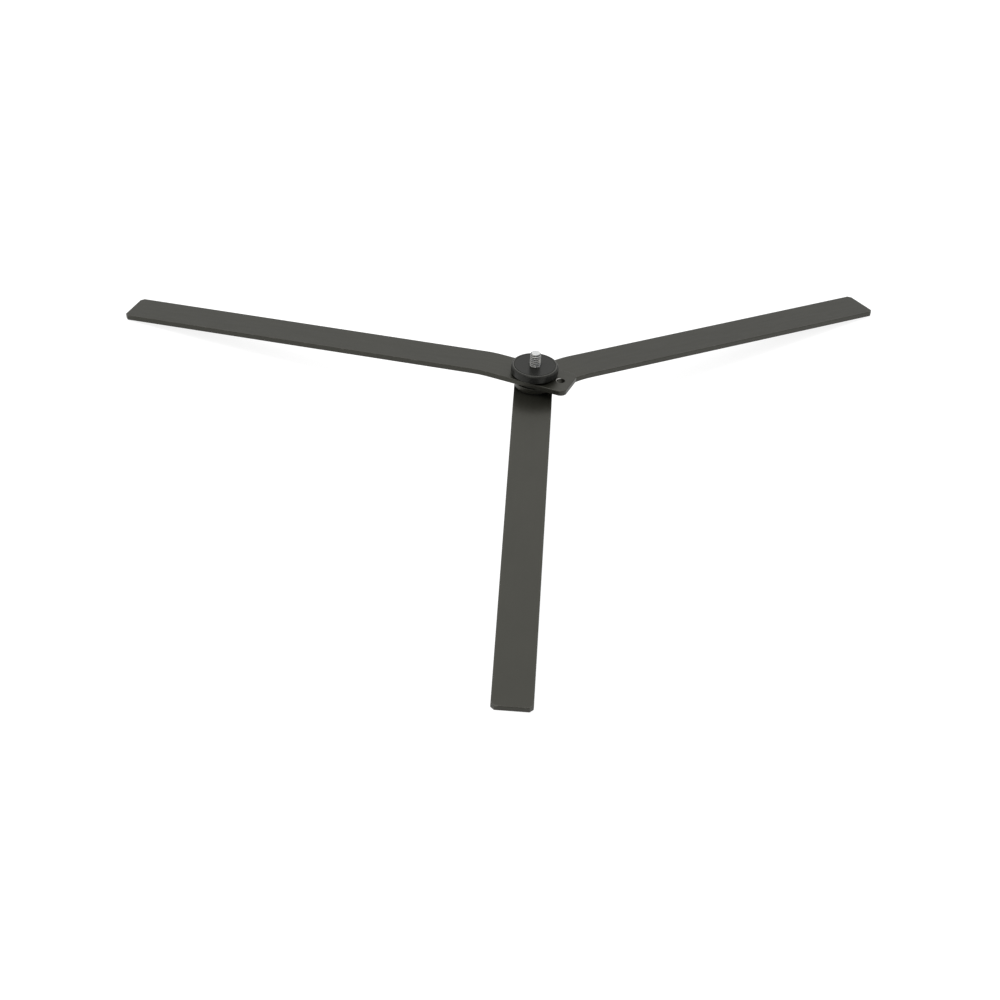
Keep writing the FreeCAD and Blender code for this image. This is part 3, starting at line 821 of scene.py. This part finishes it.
# %% Turn the disc
RIM_WIDTH = 1.8 * MM
GROOVE_WIDTH = 0.35 * MM
GROOVE_DEPTH = 0.3 * MM
SHOULDER = 1.1 * MM
FOOT_BREAK = 0.5 * MM
BORE_RADIUS = 3.15 * MM
BORE_LEAD = 0.5 * MM
FINE_ROUND = 0.08 * MM
FINE_STEPS = 3
SHOULDER_STEPS = 8

face_radius = disc_radius - RIM_WIDTH
rim_radius = face_radius + GROOVE_WIDTH
disc_outline = [
    (BORE_RADIUS, disc_face - BORE_LEAD),
    (BORE_RADIUS + BORE_LEAD, disc_face),
    *arc(face_radius - FINE_ROUND, disc_face - FINE_ROUND, FINE_ROUND, 90, 0, FINE_STEPS),
    (face_radius, disc_face - GROOVE_DEPTH),
    (rim_radius, disc_face - GROOVE_DEPTH),
    *arc(rim_radius + FINE_ROUND, disc_face - FINE_ROUND, FINE_ROUND, 180, 90, FINE_STEPS),
    *arc(disc_radius - SHOULDER, disc_face - SHOULDER, SHOULDER, 90, 0, SHOULDER_STEPS),
    (disc_radius, disc_foot + FOOT_BREAK),
    (disc_radius - FOOT_BREAK, disc_foot),
    (BORE_RADIUS + BORE_LEAD, disc_foot),
    (BORE_RADIUS, disc_foot + BORE_LEAD),
]
disc = turned(disc_outline)
print("the groove runs from %.2f to %.2f mm out" % (face_radius / MM, rim_radius / MM))

# %% The disc's paint
DISC_IOR = 1.45
DISC_SPECULAR = 0.2
DISC_PAINT = (0.0105, 0.0106, 0.0099, 1)
DISC_PAINT_LIGHT = (0.0135, 0.0137, 0.0128, 1)
# the colour of the painted highlight on the lip
LIP_HIGHLIGHT = (0.085, 0.084, 0.078, 1)
DISC_SHEEN = (1.0, 0.995, 0.92, 1)

# fades measured from the disc's side, from its face and from the groove's outer edge
SCUFF_INWARD = (-SHOULDER, -0.2 * SHOULDER)
SCUFF_DOWN = (-1.5 * SHOULDER, -0.4 * SHOULDER)
SCUFF_BREAKS = (0.50, 0.72)
SCUFF_SHARE = 0.6
LIP_BEGINS = (-0.05 * MM, 0.1 * MM)
LIP_ENDS = (0.75 * MM, 0.3 * MM)
LIP_DOWN = (-0.5 * MM, -0.3 * MM)
LIP_EVEN = 0.35

DISC_RINGS = 2600
DISC_CLOUDS = 130
HANDLING = 700
DISC_PEEL = 1800
RING_HEIGHT = 0.008 * MM
DISC_PEEL_HEIGHT = 0.01 * MM

DISC_GLOSS = 0.28
CLOUD_DULLER = 0.06
SCUFF_DULLER = 0.1


def disc_paint():
    """Semi-gloss black grey over faint turning rings."""
    paint = Finish(
        "clamp_disc_paint", IOR=DISC_IOR, Specular_IOR_Level=DISC_SPECULAR,
        Specular_Tint=DISC_SHEEN,
    )
    axes = paint.own_axes(lean)
    radius = paint.from_axis(axes)
    height = paint.parts(axes)[2]
    along_radius = paint.node("ShaderNodeCombineXYZ", {}, {"X": radius})
    clouds = paint.noise(axes, DISC_CLOUDS, detail=4)
    handling = paint.noise(axes, HANDLING, detail=5, roughness=0.7)
    below = height - disc_face

    shoulder = paint.ramp(radius - disc_radius, *SCUFF_INWARD) * paint.ramp(below, *SCUFF_DOWN)
    scuffs = shoulder * paint.ramp(handling, *SCUFF_BREAKS)
    # painted highlight: a thin lighter line on the lip outside the groove, where the rim catches
    # the light
    outside = radius - rim_radius
    lip = paint.ramp(outside, *LIP_BEGINS) * paint.ramp(outside, *LIP_ENDS)
    lip = lip * paint.ramp(below, *LIP_DOWN)
    colour = paint.mix(clouds, DISC_PAINT, DISC_PAINT_LIGHT)
    colour = paint.mix(scuffs * SCUFF_SHARE, colour, WORN_PAINT)
    colour = paint.mix(lip * (LIP_EVEN + (1 - LIP_EVEN) * handling), colour, LIP_HIGHLIGHT)

    gloss = DISC_GLOSS + CLOUD_DULLER * clouds + SCUFF_DULLER * scuffs
    rings = paint.bump(paint.noise(along_radius, DISC_RINGS, detail=3), RING_HEIGHT, SOFT_RELIEF)
    peel = paint.noise(axes, DISC_PEEL, detail=2)
    relief = paint.bump(peel, DISC_PEEL_HEIGHT, SOFT_RELIEF, over=rings)
    paint.feed(Base_Color=colour, Roughness=gloss, Normal=relief)
    return paint.material


finish_piece("clamp_disc_turned", disc, lean, "disc", "clamp_disc", disc_paint())

# %% [markdown]
# ## The hidden rings
#
# A zinc washer under the disc and two black nylon spacers between the legs only show as thin
# edges. The frame's own rings already have the right shape, so they stay, and only their
# finishes are made: the bolt's plating with its painted shade, and nylon with a soft moulded
# grain.

# %% Washer and spacers
NYLON = (0.018, 0.018, 0.019, 1)
NYLON_GREY = (0.030, 0.030, 0.031, 1)
NYLON_IOR = 1.53
NYLON_CLOUDS = 300
NYLON_GRAIN = 3200
NYLON_GRAIN_HEIGHT = 0.02 * MM
NYLON_GLOSS = 0.42
NYLON_DULLER = 0.15


def nylon(name):
    """Black moulded nylon, waxy and finely grained."""
    plastic = Finish(name, IOR=NYLON_IOR)
    axes = plastic.own_axes(lean)
    clouds = plastic.noise(axes, NYLON_CLOUDS, detail=3)
    grain = plastic.noise(axes, NYLON_GRAIN, detail=2)
    plastic.feed(
        Base_Color=plastic.mix(clouds, NYLON, NYLON_GREY),
        Roughness=NYLON_GLOSS + NYLON_DULLER * clouds,
        Normal=plastic.bump(grain, NYLON_GRAIN_HEIGHT, RELIEF),
    )
    return plastic.material


RING_FINISHES = {
    "pressure_washer": zinc_plate("zinc_washer_plate"),
    "upper_spacer": nylon("upper_spacer_nylon"),
    "lower_spacer": nylon("lower_spacer_nylon"),
}
for ring, finish in RING_FINISHES.items():
    nodes[ring].material_slots[0].material = finish
    print(ring, "keeps the frame's shape, in", finish.name)

# %% [markdown]
# ## Floor, light and camera
#
# The stand is dark and satin, so most of its brightness is a reflection. A white room gives the
# broad top faces an even sheen. It is darker near the floor and toward the front, which keeps
# the bars' sides, the foot of the stack and the middle of the stud dark. The floor glows by
# itself, as a well lit paper sheet seems to, so the stand hardly casts a shadow on it. A soft
# light above the front edge gives the disc and the stud their highlights, and a weaker one lifts
# what faces left. The camera is a long lens that looks down by about 35 degrees, with a slight
# roll.

# %% Floor
FLOOR_SIZE = 8
FLOOR_TONE = (0.22, 0.22, 0.22, 1)
FLOOR_TONE_LOW = (0.20, 0.20, 0.20, 1)
FLOOR_GLOW = 0.86
FLOOR_ROUGHNESS = 0.7
FLOOR_SQUARES = 4
FLOOR_CLOUDS = 3
WHITE = (1, 1, 1, 1)


def pale_floor():
    """A wide sheet at the frame's lowest level, on which the tips stand."""
    work = bmesh.new()
    bmesh.ops.create_grid(
        work, x_segments=FLOOR_SQUARES, y_segments=FLOOR_SQUARES, size=FLOOR_SIZE / 2,
    )
    bmesh.ops.translate(work, vec=(0, 0, cad_low.z), verts=work.verts)
    mesh = bpy.data.meshes.new("floor")
    work.to_mesh(mesh)
    work.free()
    sheet = Finish(
        "floor_paper", Roughness=FLOOR_ROUGHNESS, Emission_Color=WHITE,
        Emission_Strength=FLOOR_GLOW,
    )
    place = sheet.node("ShaderNodeTexCoord", {}, {}, "Object")
    tone = sheet.mix(sheet.noise(place, FLOOR_CLOUDS), FLOOR_TONE_LOW, FLOOR_TONE)
    sheet.feed(Base_Color=tone)
    mesh.materials.append(sheet.material)
    floor = bpy.data.objects.new("floor", mesh)
    bpy.context.scene.collection.objects.link(floor)
    floor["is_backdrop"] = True
    print("floor %.0f m wide at a level of %.2f mm" % (FLOOR_SIZE, cad_low.z / MM))


pale_floor()

# %% Light
ROOM_LIGHT = 1.45
HORIZON = 0.15
FRONT_SHADE = 0.55

# the walls brighten from a rise of WALL_FOOT / WALL_GAIN to one of (1 + WALL_FOOT) / WALL_GAIN
WALL_GAIN = 2.6
WALL_FOOT = 0.35
KEY_LIGHT = {"place": (-0.35, -0.5, 1.9), "width": 0.5, "power": 12}
FILL_LIGHT = {"place": (-1.6, -0.2, 0.9), "width": 0.8, "power": 5}


def white_room():
    """A room that is dim at its walls' foot and toward the front, and white to the camera."""
    world = bpy.data.worlds.new("white room")
    world.use_nodes = True
    room = Wiring(world.node_tree)
    direction = room.node("ShaderNodeTexCoord", {}, {}, "Generated")
    toward_back, rise = room.parts(direction)[1:]
    height = (rise * WALL_GAIN - WALL_FOOT).most(0).least(1)
    front = (0 - toward_back).most(0)
    glow = ROOM_LIGHT * (HORIZON + (1 - HORIZON) * height) * (1 - FRONT_SHADE * front)
    seen = room.node("ShaderNodeLightPath", {}, {}, "Is Camera Ray")
    background = room.tree.nodes["Background"]
    room.fill(background.inputs["Color"], WHITE)
    room.fill(background.inputs["Strength"], seen + (1 - seen) * glow)
    bpy.context.scene.world = world


def soft_light(name, place, width, power):
    """A square area light aimed at the middle of the frame."""
    lamp = bpy.data.lights.new(name, "AREA")
    lamp.size = width
    lamp.energy = power
    light = bpy.data.objects.new(name, lamp)
    light.location = place
    light.rotation_euler = (-Vector(place)).to_track_quat("-Z", "Y").to_euler()
    bpy.context.scene.collection.objects.link(light)


white_room()
soft_light("key above the front edge", **KEY_LIGHT)
soft_light("fill from the left", **FILL_LIGHT)
bpy.context.scene.view_settings.view_transform = "Standard"
print("room light", ROOM_LIGHT, "and", len(bpy.data.lights), "lamps")

# %% Camera
LOOK_DOWN = math.radians(35.18)
TURN = math.radians(-0.178)
ROLL = math.radians(4.798)
DISTANCE = 1.6128
AIM = Vector((0, 0, -0.015))
SLIDE_RIGHT = -0.019068
SLIDE_UP = -0.065505
LENS = 100.53
SENSOR_WIDTH = 36


def long_lens_camera():
    """A long lens a step and a half away, looking down on the stack."""
    forward = Vector((
        -math.sin(TURN) * math.cos(LOOK_DOWN), math.cos(TURN) * math.cos(LOOK_DOWN),
        -math.sin(LOOK_DOWN),
    ))
    level = Vector((math.cos(TURN), math.sin(TURN), 0))
    steep = level.cross(forward)
    right = level * math.cos(ROLL) + steep * math.sin(ROLL)
    up = steep * math.cos(ROLL) - level * math.sin(ROLL)
    lens = bpy.data.cameras.new("camera")
    lens.lens = LENS
    lens.sensor_width = SENSOR_WIDTH
    camera = bpy.data.objects.new("camera", lens)
    place = AIM - forward * DISTANCE + right * SLIDE_RIGHT + up * SLIDE_UP
    turn = Matrix((right, up, -forward)).transposed().to_4x4()
    camera.matrix_world = Matrix.Translation(place) @ turn
    bpy.context.scene.collection.objects.link(camera)
    bpy.context.scene.camera = camera
    print("camera at", [round(value, 3) for value in place])


long_lens_camera()

# %% Measure how far the two boxes differ, and finish
visual_low, visual_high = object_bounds()
box_pairs = ((visual_low, cad_low), (visual_high, cad_high))
furthest = max(abs(ours - theirs) for pair in box_pairs for ours, theirs in zip(*pair))
print("visual box off the frame's by %.3f mm at most" % (furthest / MM))
